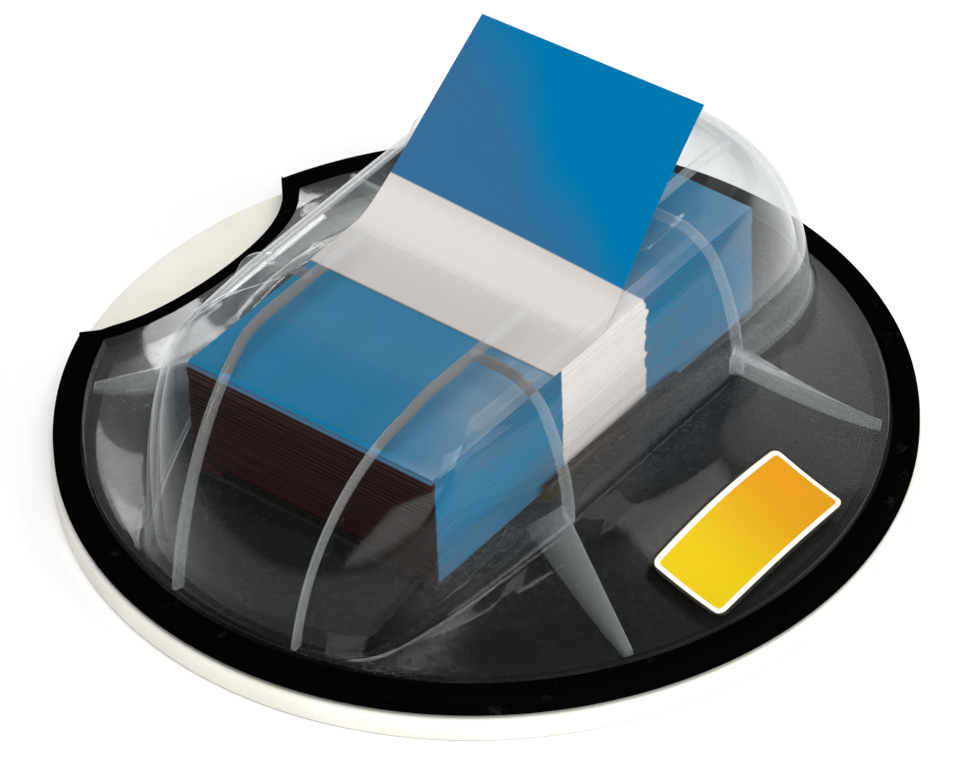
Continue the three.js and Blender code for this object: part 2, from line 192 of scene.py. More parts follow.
def strip(path: np.ndarray, normal: np.ndarray, profile: np.ndarray, **marks: float) -> Patch:
    """Carries a closed profile along a path, and caps both ends.

    Each point is the path's point plus the profile's first value times the side direction plus
    its second value times the normal; the side direction is the path's tangent crossed with it.

    Args:
        path: Points along the way.
        normal: The outward direction at each of them.
        profile: Closed list of across and outward distances, or one such list per path point.
        **marks: One value for the whole strip.

    Returns:
        The closed patch.
    """
    tangent = unit(np.gradient(path, axis=0))
    side = unit(np.cross(tangent, normal))
    shape = np.broadcast_to(profile, (len(path),) + profile.shape[-2:])
    grid = path[:, None] + side[:, None] * shape[..., :1] + normal[:, None] * shape[..., 1:]
    patch = weave(grid, wrap=True, **{name: np.array(value) for name, value in marks.items()})
    count = shape.shape[1]
    last = (len(path) - 1) * count
    patch.faces += [list(range(count))[::-1], list(range(last, last + count))]
    return patch


def slab(bottom: np.ndarray, top: np.ndarray, **marks: np.ndarray) -> Patch:
    """A thin plate between two grids of the same shape, closed by a hem round its edge.

    Args:
        bottom: Points of the underside, rows by columns by three.
        top: Points of the upper side.
        **marks: Values at the points, the same on both sides.

    Returns:
        The closed patch.
    """
    under, over = weave(bottom, **marks), weave(top, **marks)
    rows, columns = bottom.shape[:2]
    count = rows * columns
    index = np.arange(count).reshape(rows, columns)
    ring = np.concatenate([index[0, :-1], index[:-1, -1], index[-1, :0:-1], index[:0:-1, 0]])
    following = np.roll(ring, -1)
    hem = np.stack([ring, following, following + count, ring + count], axis=-1)
    faces = [face[::-1] for face in under.faces] + [[i + count for i in face] for face in over.faces]
    return Patch(np.concatenate([under.points, over.points]), faces + hem.tolist(),
                 {name: np.tile(value.reshape(-1), 2) for name, value in marks.items()})


def block(low: Sequence[float], high: Sequence[float]) -> Patch:
    """A box between two corners.

    Args:
        low: The corner with the lowest coordinates.
        high: The corner with the highest.

    Returns:
        The closed patch.
    """
    picks = np.array([[i & 1, i >> 1 & 1, i >> 2] for i in range(8)])
    faces = [[0, 2, 3, 1], [4, 5, 7, 6], [0, 1, 5, 4], [2, 6, 7, 3], [0, 4, 6, 2], [1, 3, 7, 5]]
    return Patch(np.where(picks == 0, np.array(low), np.array(high)).astype(float), faces)


def make_mesh(name: str, patches: Sequence[Patch], outward: bool) -> bpy.types.Mesh:
    """Builds one merged mesh in metres from patches.

    Args:
        name: The mesh's name.
        patches: The stretches of surface.
        outward: Whether to turn every face outwards, which a closed shape needs.

    Returns:
        The mesh, with each mark as a point attribute.
    """
    starts = np.cumsum([0] + [len(patch.points) for patch in patches])
    faces = [[int(start + i) for i in face] for patch, start in zip(patches, starts) for face in patch.faces]
    mesh = bpy.data.meshes.new(name)
    mesh.from_pydata((np.concatenate([patch.points for patch in patches]) * MM).tolist(), [], faces)
    for mark in sorted({key for patch in patches for key in patch.marks}):
        values = np.concatenate([patch.marks.get(mark, np.zeros(len(patch.points))) for patch in patches])
        layer = mesh.attributes.new(mark, "FLOAT", "POINT")
        layer.data.foreach_set("value", values.astype(np.float32))
    finishes = np.concatenate([np.full(len(patch.faces), patch.finish) for patch in patches])
    mesh.polygons.foreach_set("material_index", finishes.astype(np.int32))
    work = bmesh.new()
    work.from_mesh(mesh)
    bmesh.ops.remove_doubles(work, verts=work.verts, dist=2e-6)
    bmesh.ops.dissolve_degenerate(work, edges=work.edges, dist=1e-7)
    if outward:
        bmesh.ops.recalc_face_normals(work, faces=work.faces)
    work.to_mesh(mesh)
    work.free()
    return mesh


def place(name: str, mesh: bpy.types.Mesh, finishes: Sequence[bpy.types.Material],
          sharp: float = 35.0) -> bpy.types.Object:
    """Puts a mesh in the scene as a finished object.

    Args:
        name: The piece's name.
        mesh: Its mesh.
        finishes: Its materials, in the order of the faces' finish numbers.
        sharp: Edges that turn by more than this many degrees stay crisp.

    Returns:
        The object.
    """
    item = bpy.data.objects.new(name, mesh)
    bpy.context.scene.collection.objects.link(item)
    for finish in finishes:
        mesh.materials.append(finish)
    mesh.shade_smooth()
    mesh.set_sharp_from_angle(angle=math.radians(sharp))
    return item


def settle(item: bpy.types.Object, stands_for: Sequence[str]) -> None:
    """Rides a piece on the body, hides the CAD nodes that it stands for, and reports it.

    Args:
        item: The piece.
        stands_for: CAD nodes that it replaces.
    """
    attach(item, "root")
    if stands_for:
        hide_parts(*stands_for)
    LOG.info("%s: %d faces", item.name, len(item.data.polygons))


class NodeBench:
    """Lays out one material's nodes."""

    def __init__(self, name: str) -> None:
        """Starts an empty material.

        Args:
            name: The material's name.
        """
        self.material = bpy.data.materials.new(name)
        self.material.use_nodes = True
        self.tree = self.material.node_tree
        self.tree.nodes.clear()

    def node(self, kind: str, inputs: Mapping[Any, Any] | None = None, **settings: Any) -> bpy.types.Node:
        """Adds one node.

        Args:
            kind: The node's type.
            inputs: Socket names or numbers, each with a value or a socket to link from.
            **settings: The node's own options.

        Returns:
            The node.
        """
        item = self.tree.nodes.new(kind)
        for name, value in settings.items():
            setattr(item, name, value)
        for name, value in (inputs or {}).items():
            if isinstance(value, bpy.types.NodeSocket):
                self.tree.links.new(value, item.inputs[name])
            else:
                item.inputs[name].default_value = value
        return item

    def coordinates(self, scale: tuple[float, float, float] = (1, 1, 1)) -> bpy.types.NodeSocket:
        """Returns the object's own coordinates in metres, stretched by a scale."""
        source = self.node("ShaderNodeTexCoord").outputs["Object"]
        return self.node("ShaderNodeMapping", {"Vector": source, "Scale": scale}).outputs[0]

    def axis(self, name: str) -> bpy.types.NodeSocket:
        """Returns one of the object's coordinates in millimetres."""
        metres = self.coordinates((1 / MM, 1 / MM, 1 / MM))
        return self.node("ShaderNodeSeparateXYZ", {0: metres}).outputs[name]

    def mark(self, name: str) -> bpy.types.NodeSocket:
        """Returns a mark that the mesh carries."""
        return self.node("ShaderNodeAttribute", attribute_name=name).outputs["Fac"]

    def noise(self, scale: float, detail: float = 3.0, stretch: tuple[float, float, float] = (1, 1, 1),
              roughness: float = 0.5) -> bpy.types.NodeSocket:
        """Returns smooth noise from 0 to 1.

        Args:
            scale: Waves per metre.
            detail: How many finer layers it has.
            stretch: Scale along each axis.
            roughness: Weight of the finer layers.

        Returns:
            The noise's value.
        """
        return self.node("ShaderNodeTexNoise", {
            "Vector": self.coordinates(stretch), "Scale": scale, "Detail": detail,
            "Roughness": roughness}).outputs["Fac"]

    def arithmetic(self, kind: str, first: Any, second: Any, third: Any = 0.0) -> bpy.types.NodeSocket:
        """Returns one step of arithmetic on two or three values."""
        return self.node("ShaderNodeMath", {0: first, 1: second, 2: third}, operation=kind).outputs[0]

    def plus(self, first: Any, second: Any) -> bpy.types.NodeSocket:
        """Returns the sum of two values."""
        return self.arithmetic("ADD", first, second)

    def minus(self, first: Any, second: Any) -> bpy.types.NodeSocket:
        """Returns the first value less the second."""
        return self.arithmetic("SUBTRACT", first, second)

    def times(self, first: Any, second: Any) -> bpy.types.NodeSocket:
        """Returns the product of two values."""
        return self.arithmetic("MULTIPLY", first, second)

    def power(self, base: Any, exponent: float) -> bpy.types.NodeSocket:
        """Returns a value to a power."""
        return self.arithmetic("POWER", base, exponent)

    def span(self, value: Any, low: float, high: float, start: float = 0.0, end: float = 1.0
             ) -> bpy.types.NodeSocket:
        """Turns a value into start below low, end above high, and a smooth change between them.

        Args:
            value: The value.
            low: Where the change begins.
            high: Where it ends.
            start: What values below low give.
            end: What values above high give.

        Returns:
            The new value.
        """
        return self.node("ShaderNodeMapRange", {
            "Value": value, "From Min": low, "From Max": high, "To Min": start, "To Max": end},
            interpolation_type="SMOOTHSTEP").outputs[0]

    def blend(self, share: Any, first: Any, second: Any) -> bpy.types.NodeSocket:
        """Returns a colour a share of the way from the first to the second."""
        return self.node("ShaderNodeMix", {0: share, 6: first, 7: second}, data_type="RGBA").outputs[2]

    def bump(self, height: bpy.types.NodeSocket, strength: float, depth: float) -> bpy.types.NodeSocket:
        """Returns a normal roughened by a height, its depth in millimetres."""
        return self.node("ShaderNodeBump", {
            "Height": height, "Strength": strength, "Distance": depth * MM}).outputs[0]

    def surface(self, colour: Any, roughness: Any, shine: float,
                normal: bpy.types.NodeSocket | None = None) -> bpy.types.Node:
        """Adds an opaque surface.

        Args:
            colour: Its colour.
            roughness: Its roughness.
            shine: How much it mirrors, where 0.5 is bare plastic.
            normal: A roughened normal.

        Returns:
            The shader.
        """
        inputs = {"Base Color": colour, "Roughness": roughness, "Specular IOR Level": shine}
        if normal is not None:
            inputs["Normal"] = normal
        return self.node("ShaderNodeBsdfPrincipled", inputs)

    def mixed(self, share: Any, first: bpy.types.Node, second: bpy.types.Node) -> bpy.types.Node:
        """Returns a shader a share of the way from the first to the second."""
        return self.node("ShaderNodeMixShader", {0: share, 1: first.outputs[0], 2: second.outputs[0]})

    def finish(self, shader: bpy.types.Node) -> bpy.types.Material:
        """Connects the shader and returns the material."""
        self.node("ShaderNodeOutputMaterial", {"Surface": shader.outputs[0]})
        return self.material


@dataclass(frozen=True)
class PaleFoam:
    """The grip pad's closed foam: fine cells and a soft, dry surface."""

    colour: Colour = srgb(236, 234, 227)
    shade: Colour = srgb(220, 217, 209)
    cells: float = 2600
    clouds: float = 120
    roughness: float = 0.85
    shine: float = 0.2

    def material(self) -> bpy.types.Material:
        """Builds the material.

        Returns:
            The material.
        """
        bench = NodeBench("pale_foam")
        cells = bench.noise(self.cells, 2.0)
        cloud = bench.noise(self.clouds, 3.0)
        colour = bench.blend(bench.span(cloud, 0.3, 0.75, 0.0, 0.6), self.colour, self.shade)
        return bench.finish(bench.surface(colour, self.roughness, self.shine, bench.bump(cells, 0.35, 0.08)))


@dataclass(frozen=True)
class RimBlack:
    """The disc's rim: deep black moulded plastic with a fine matte grain."""

    colour: Colour = (0.0012, 0.0012, 0.0013, 1.0)
    worn: Colour = (0.010, 0.0105, 0.011, 1.0)
    grain: float = 1900
    scuffs: float = 420
    roughness: tuple[float, float] = (0.42, 0.62)
    shine: float = 0.0

    def material(self) -> bpy.types.Material:
        """Builds the material.

        Returns:
            The material.
        """
        bench = NodeBench("rim_black")
        grain = bench.noise(self.grain, 4.0, roughness=0.7)
        scuff = bench.span(bench.noise(self.scuffs, 5.0, roughness=0.75), 0.6, 0.74)
        colour = bench.blend(scuff, self.colour, self.worn)
        return bench.finish(bench.surface(colour, bench.span(grain, 0.3, 0.7, *self.roughness), self.shine,
                                          bench.bump(grain, 0.25, 0.04)))


@dataclass(frozen=True)
class DomeBlack:
    """The disc under the cover: smoother black plastic, a little grey with reflected light."""

    colour: Colour = (0.0022, 0.0027, 0.003, 1.0)
    dust: Colour = (0.009, 0.0095, 0.0098, 1.0)
    grain: float = 1400
    dust_clouds: float = 160
    roughness: tuple[float, float] = (0.2, 0.3)
    shine: float = 0.22

    def material(self) -> bpy.types.Material:
        """Builds the material.

        Returns:
            The material.
        """
        bench = NodeBench("dome_black")
        grain = bench.noise(self.grain, 4.0, roughness=0.65)
        dust = bench.span(bench.noise(self.dust_clouds, 4.0, roughness=0.6), 0.5, 0.72, 0.0, 0.55)
        colour = bench.blend(dust, self.colour, self.dust)
        return bench.finish(bench.surface(colour, bench.span(grain, 0.3, 0.7, *self.roughness), self.shine,
                                          bench.bump(grain, 0.15, 0.03)))


@dataclass(frozen=True)
class ClearPlastic:
    """The cover: clear moulded plastic, milky where a mark says that it is thick or an edge."""

    square_on: float = 0.011
    edge_milk: float = 0.5
    rib_milk: float = 0.085
    tint: Colour = (0.975, 0.98, 0.98, 1.0)
    milk: Colour = srgb(226, 230, 231)
    ripples: float = 70
    gloss_roughness: float = 0.06
    milk_roughness: float = 0.3

    def material(self) -> bpy.types.Material:
        """Mixes a clear wall, a mirror and a milky body.

        The mirror's share grows with the fifth power of how far the wall turns from the eye. The
        milky share is the mesh's haze mark plus the fourth power of the same turn.

        Returns:
            The material.
        """
        bench = NodeBench("clear_plastic")
        ripple = bench.bump(bench.noise(self.ripples, 2.0), 0.12, 0.4)
        clear = bench.node("ShaderNodeBsdfTransparent", {"Color": self.tint})
        gloss = bench.node("ShaderNodeBsdfAnisotropic", {
            "Color": (1, 1, 1, 1), "Roughness": self.gloss_roughness, "Normal": ripple})
        facing = bench.node("ShaderNodeLayerWeight", {"Blend": 0.5, "Normal": ripple}).outputs["Facing"]
        mirror = bench.arithmetic("MULTIPLY_ADD", bench.power(facing, 5.0), 1.0 - self.square_on,
                                  self.square_on)
        wall = bench.mixed(mirror, clear, gloss)
        milk = bench.surface(self.milk, self.milk_roughness, 0.5)
        grazing = bench.times(bench.power(facing, 4.0), self.edge_milk)
        haze = bench.plus(bench.span(bench.mark("haze"), 0.0, 1.0, 0.0, self.rib_milk), grazing)
        return bench.finish(bench.mixed(haze, wall, milk))


@dataclass(frozen=True)
class PadStack:
    """The pad's edges and top: blue ends, frosted middle, a front end face in painted shade with a red-brown
    tint and painted light toward its top, a painted reflection veil on the top, and painted shade low on the
    frosted sides.
    """

    blue: Colour = srgb(10, 112, 152)
    dull: Colour = srgb(72, 104, 128)
    # Painted reflection: the grey-blue veil over the pad's top.
    painted_veil: Colour = srgb(112, 138, 160)
    film: Colour = srgb(226, 221, 218)
    # Painted shade: the frosted film's darker colour low on the pad's sides.
    film_painted_shade: Colour = srgb(206, 201, 198)
    # Painted shade: the front end face's dark red-brown, as if the face stood in shade.
    front: Colour = srgb(32, 14, 12)
    # Painted light: the lit copy of the front colour, used toward the face's top and in its streaks.
    front_painted_light: Colour = srgb(66, 36, 31)
    front_top: Colour = srgb(74, 118, 150)
    waves: float = 260
    streaks: float = 900
    clouds: float = 95
    roughness: tuple[float, float] = (0.5, 0.65)
    shine: float = 0.05
    waver: float = 2.4
    band_blur: float = 0.12
    top_leaf: tuple[float, float] = (PAD_TOP - 0.08, PAD_TOP - 0.02)
    front_plane: tuple[float, float] = (-22.25, -22.15)

    def material(self) -> bpy.types.Material:
        """Builds the material from the place along, across and up the pad.

        Returns:
            The material.
        """
        bench = NodeBench("pad_stack")
        across, along, up = (bench.axis(name) for name in "XYZ")
        waver = bench.times(bench.minus(bench.noise(self.waves, 3.0, (0.4, 0.4, 2.2)), 0.5), self.waver)
        steady = bench.plus(along, bench.times(waver, bench.span(along, -1, 5, 0.12, 1)))
        soft = self.band_blur
        in_band = bench.times(bench.span(steady, -BAND_HALF - soft, -BAND_HALF + soft),
                              bench.span(steady, BAND_HALF - soft, BAND_HALF + soft, 1, 0))
        streak = bench.noise(self.streaks, 3.0, (0.06, 0.06, 1.0))
        cloud = bench.noise(self.clouds, 3.0, (0.5, 0.45, 1.2))
        side = bench.blend(bench.span(cloud, 0.38, 0.66), self.blue, self.dull)
        side = bench.blend(bench.span(streak, 0.45, 0.7, 0.0, 0.35), side, self.dull)
        # Painted reflection: a veil greys the pad's top, heavier toward +X and in cloudy patches.
        painted_veil = bench.times(bench.span(across, 3, 12), bench.span(cloud, 0.35, 0.6))
        top = bench.blend(painted_veil, self.blue, self.painted_veil)
        blue = bench.blend(bench.span(up, *self.top_leaf), side, top)
        # Painted shade: the frosted sides darken toward the bottom of the pad.
        film = bench.blend(bench.span(up, PAD_FLOOR + 1, PAD_TOP - 1), self.film_painted_shade, self.film)
        body = bench.blend(in_band, blue, film)
        # Painted light and shade: the front end face is dark and grows lighter toward its top in cloudy
        # patches, as if lit from above.
        painted_top_light = bench.times(bench.span(up, PAD_TOP - 2.4, PAD_TOP - 0.1),
                           bench.span(cloud, 0.3, 0.7, 0.25, 1.0))
        face = bench.blend(painted_top_light, self.front, self.front_painted_light)
        face = bench.blend(bench.span(up, PAD_TOP - 0.5, PAD_TOP - 0.15), face, self.front_top)
        face = bench.blend(bench.span(streak, 0.5, 0.75, 0.0, 0.35), face, self.front_painted_light)
        on_face = bench.times(bench.span(along, *self.front_plane, 1, 0),
                              bench.span(up, *self.top_leaf, 1, 0))
        roughness = bench.span(streak, 0.3, 0.7, *self.roughness)
        return bench.finish(bench.surface(bench.blend(on_face, body, face), roughness, self.shine,
                                          bench.bump(streak, 0.2, 0.05)))


@dataclass(frozen=True)
class TabFilm:
    """The raised tab: blue end, frosted middle, and clear film where it still lies on the pad."""

    blue: Colour = (0.0, 0.172, 0.385, 1.0)
    # Painted reflection: the greyed blue where a veil lies over the tab's lower corner.
    dull: Colour = srgb(52, 103, 145)
    film: Colour = srgb(216, 211, 208)
    # Painted shade: the film's darker colour under the cover's top and just below the blue.
    film_painted_shade: Colour = srgb(184, 179, 176)
    blue_start: float = 26.7
    blue_slant: float = 0.9
    painted_veil_reach: tuple[float, float] = (-0.12, 0.42)
    clear_end: tuple[float, float] = (15.2, 15.4)
    clear_haze: float = 0.015
    length: float = 43.2
    # Where the painted shade on the flat part fades out.
    fold: tuple[float, float] = (19.0, 24.0)
    fold_shade: float = 0.8
    blue_shade: float = 0.35
    blue_shade_run: float = 1.8
    mottle: float = 70
    roughness: float = 0.5
    shine: float = 0.0

    def material(self) -> bpy.types.Material:
        """Builds the material from the marks along and across the tab.

        The blue is greyed by a painted reflection in the corner below a line from the tip's one corner to
        the fold's other, and the film carries painted shade.

        Returns:
            The material.
        """
        bench = NodeBench("tab_film")
        along = bench.mark("along")
        across = bench.mark("across")
        run = bench.plus(along, bench.times(across, self.blue_slant))
        in_blue = bench.span(run, self.blue_start - 0.1, self.blue_start + 0.1)
        # Painted shade: the film darkens on its flat part, fading out across the fold, and in a band just
        # below where the blue starts.
        fold = bench.times(bench.span(along, *self.fold, 1, 0), self.fold_shade)
        shade_start = self.blue_start - self.blue_shade_run
        under = bench.times(bench.span(run, shade_start, self.blue_start), self.blue_shade)
        film = bench.blend(bench.plus(fold, under), self.film, self.film_painted_shade)
        blue_length = self.length - self.blue_start
        tip = bench.arithmetic("DIVIDE", bench.minus(along, self.blue_start), blue_length)
        # Painted reflection: a veil greys the blue below the diagonal from the tip's one corner to the
        # fold's other, with mottled edges.
        low = bench.minus(bench.minus(1.0, tip), across)
        soft = bench.plus(low, bench.times(bench.minus(bench.noise(self.mottle, 3.0), 0.5), 0.5))
        blue = bench.blend(bench.span(soft, *self.painted_veil_reach), self.blue, self.dull)
        colour = bench.blend(in_blue, film, blue)
        solid = bench.surface(colour, self.roughness, self.shine,
                              bench.bump(bench.noise(900, 2.0), 0.05, 0.02))
        clear = bench.node("ShaderNodeBsdfTransparent")
        cover = bench.span(along, *self.clear_end, self.clear_haze, 1.0)
        return bench.finish(bench.mixed(cover, clear, solid))


@dataclass(frozen=True)
class LabelPrint:
    """The plain label: yellow running to amber, with a white border in a dark outline."""

    yellow: Colour = srgb(206, 178, 12)
    amber: Colour = srgb(204, 140, 10)
    border: Colour = srgb(226, 224, 214)
    outline: Colour = srgb(40, 36, 30)
    border_edge: tuple[float, float] = (0.62, 0.68)
    outline_edge: tuple[float, float] = (0.2, 0.26)
    roughness: float = 0.42
    shine: float = 0.12

    def material(self) -> bpy.types.Material:
        """Builds the material from the mark of distance to the label's edge.

        Returns:
            The material.
        """
        bench = NodeBench("label_print")
        edge = bench.mark("edge")
        turn = bench.plus(bench.mark("along"), bench.times(bench.noise(60, 1.0), 0.15))
        fill = bench.blend(bench.span(turn, 0.25, 0.95), self.yellow, self.amber)
        framed = bench.blend(bench.span(edge, *self.border_edge, 1, 0), fill, self.border)
        colour = bench.blend(bench.span(edge, *self.outline_edge, 1, 0), framed, self.outline)
        return bench.finish(bench.surface(colour, self.roughness, self.shine,
                                          bench.bump(bench.noise(1500, 2.0), 0.06, 0.02)))


@dataclass(frozen=True)
class StudioFloor:
    """A plain near-white sweep."""

    colour: Colour = (0.93, 0.93, 0.93, 1.0)

    def material(self) -> bpy.types.Material:
        """Builds the material.

        Returns:
            The material.
        """
        bench = NodeBench("studio_floor")
        return bench.finish(bench.node("ShaderNodeBsdfDiffuse", {"Color": self.colour}))


class Stretch(Enum):
    """The stretches of the housing's outline, from the front's middle to the back's."""

    FRONT = 0
    TURN = 1
    FLANK = 2
    STRAIGHT = 3
    TAIL = 4


@dataclass(frozen=True)
class Housing:
    """The clear housing's outer surface as a function of its rise and its station."""

    half_width: float = 17.8
    reach: float = 33.5
    mid_half: float = 11.8
    side_lean: float = 3.6
    side_power: float = 2.2
    shoulder_round: float = 2.5
    front_lean: float = 2.0
    front_round: float = 14.6
    back_lean: float = 1.5
    back_round: float = 10.0
    bow_foot: float = 2.4
    bow_middle: float = 1.4
    bow_top: float = 0.6
    taper: float = 6.2
    taper_power: float = 1.2
    corner_share: float = 0.22
    flank_pull: tuple[float, float] = (0.5, 0.72)
    tail_pull: tuple[float, float] = (0.89, 0.67)
    tail_square: float = 0.75

    def height(self, rise: np.ndarray) -> np.ndarray:
        """Returns the height above the desk at a rise from 0 at the rim to 1 at the top."""
        return mix(RIM_TOP, HOUSING_TOP, rise)

    def side(self, rise: np.ndarray) -> np.ndarray:
        """Half width: the foot's, less a power of the height above the crown, less the shoulder.

        Args:
            rise: Rises from 0 to 1.

        Returns:
            Half widths.
        """
        height = self.height(rise)
        upright = np.maximum(0.0, (height - CROWN_TOP) / (HOUSING_TOP - CROWN_TOP))
        into = np.clip(height - (HOUSING_TOP - self.shoulder_round), 0.0, self.shoulder_round)
        shoulder = self.shoulder_round - np.sqrt(np.maximum(0.0, self.shoulder_round ** 2 - into ** 2))
        return self.half_width - self.side_lean * upright ** self.side_power - shoulder

    def ends(self, rise: np.ndarray) -> tuple[np.ndarray, np.ndarray]:
        """Front and back: the reach, less a lean in step with the rise, less a quarter-round.

        Args:
            rise: Rises from 0 to 1.

        Returns:
            The front's and the back's place along the tabs.
        """
        bend = 1.0 - np.sqrt(np.maximum(0.0, 1.0 - rise ** 2))
        front = -(self.reach - self.front_lean * rise - self.front_round * bend)
        return front, self.reach - self.back_lean * rise - self.back_round * bend

    def corner(self, rise: np.ndarray) -> tuple[np.ndarray, np.ndarray]:
        """The front corner: inside the sides by a taper and behind the front by its bow.

        Args:
            rise: Rises from 0 to 1.

        Returns:
            The corner's places across and along the tabs.
        """
        bow = mix(self.bow_foot, self.bow_top, rise ** 3) + self.bow_middle * np.sin(np.pi * rise)
        across = self.side(rise) - self.taper * (1.0 - rise ** self.taper_power)
        return across, self.ends(rise)[0] + bow

    def point(self, rise: np.ndarray, stretch: np.ndarray, place: np.ndarray) -> np.ndarray:
        """Points of the outline for the half with positive X.

        The front bows as the square of the place across. A quadratic Bezier turns the corner,
        another runs along the flank, the side is straight, and a cubic Bezier closes the back.

        Args:
            rise: Rises from 0 to 1.
            stretch: Which stretch each station is in.
            place: The station's place in its stretch.

        Returns:
            Points, with the inputs' shape by three.
        """
        rise, stretch, place = np.broadcast_arrays(rise, stretch, place)
        side = self.side(rise)
        front, back = self.ends(rise)
        corner = np.stack(self.corner(rise), axis=-1)
        start = np.stack([side, np.full_like(side, -self.mid_half)], axis=-1)
        pull = np.stack([mix(corner[..., 0], side, self.flank_pull[0]),
                         mix(-self.mid_half, corner[..., 1], self.flank_pull[1])], axis=-1)

        def bow(share: Any) -> np.ndarray:
            """Returns the front wall's point at a share of the way to the corner."""
            return np.stack([corner[..., 0] * share, mix(front, corner[..., 1], share ** 2)], axis=-1)

        def bend(points: Sequence[np.ndarray], share: Any) -> np.ndarray:
            """Bezier curve by repeated mixing of its control points.

            Args:
                points: The control points.
                share: Shares of the curve.

            Returns:
                Points of the curve.
            """
            share = np.asarray(share)[..., None] if np.ndim(share) else share
            while len(points) > 1:
                points = [mix(a, b, share) for a, b in zip(points[:-1], points[1:])]
            return points[0]

        flank_turn = bend([corner, pull, start], self.corner_share)
        tail = [np.stack([side, np.full_like(side, self.mid_half)], axis=-1),
                np.stack([side * self.tail_pull[0], mix(self.mid_half, back, self.tail_pull[1])], axis=-1),
                np.stack([side * self.tail_square, back], axis=-1),
                np.stack([np.zeros_like(side), back], axis=-1)]
        choices = [bow(place), bend([bow(1.0 - self.corner_share), corner, flank_turn], place),
                   bend([corner, pull, start], place), np.stack([side, place], axis=-1), bend(tail, place)]
        plan = np.select([(stretch == kind.value)[..., None] for kind in Stretch], choices)
        return np.concatenate([plan, self.height(rise)[..., None]], axis=-1)

    def foot(self, stretch: np.ndarray, place: np.ndarray) -> np.ndarray:
        """Rise at which each station's wall comes out of the skirt, found by halving.

        Args:
            stretch: Which stretch each station is in.
            place: The station's place in its stretch.

        Returns:
            One rise per station.
        """
        low = np.zeros(len(place))
        high = np.full(len(place), 0.5)
        for _ in range(36):
            middle = (low + high) / 2
            spot = self.point(middle, stretch, place)
            under = spot[:, 2] < skirt_height(np.hypot(spot[:, 0], spot[:, 1]))
            low = np.where(under, middle, low)
            high = np.where(under, high, middle)
        return high


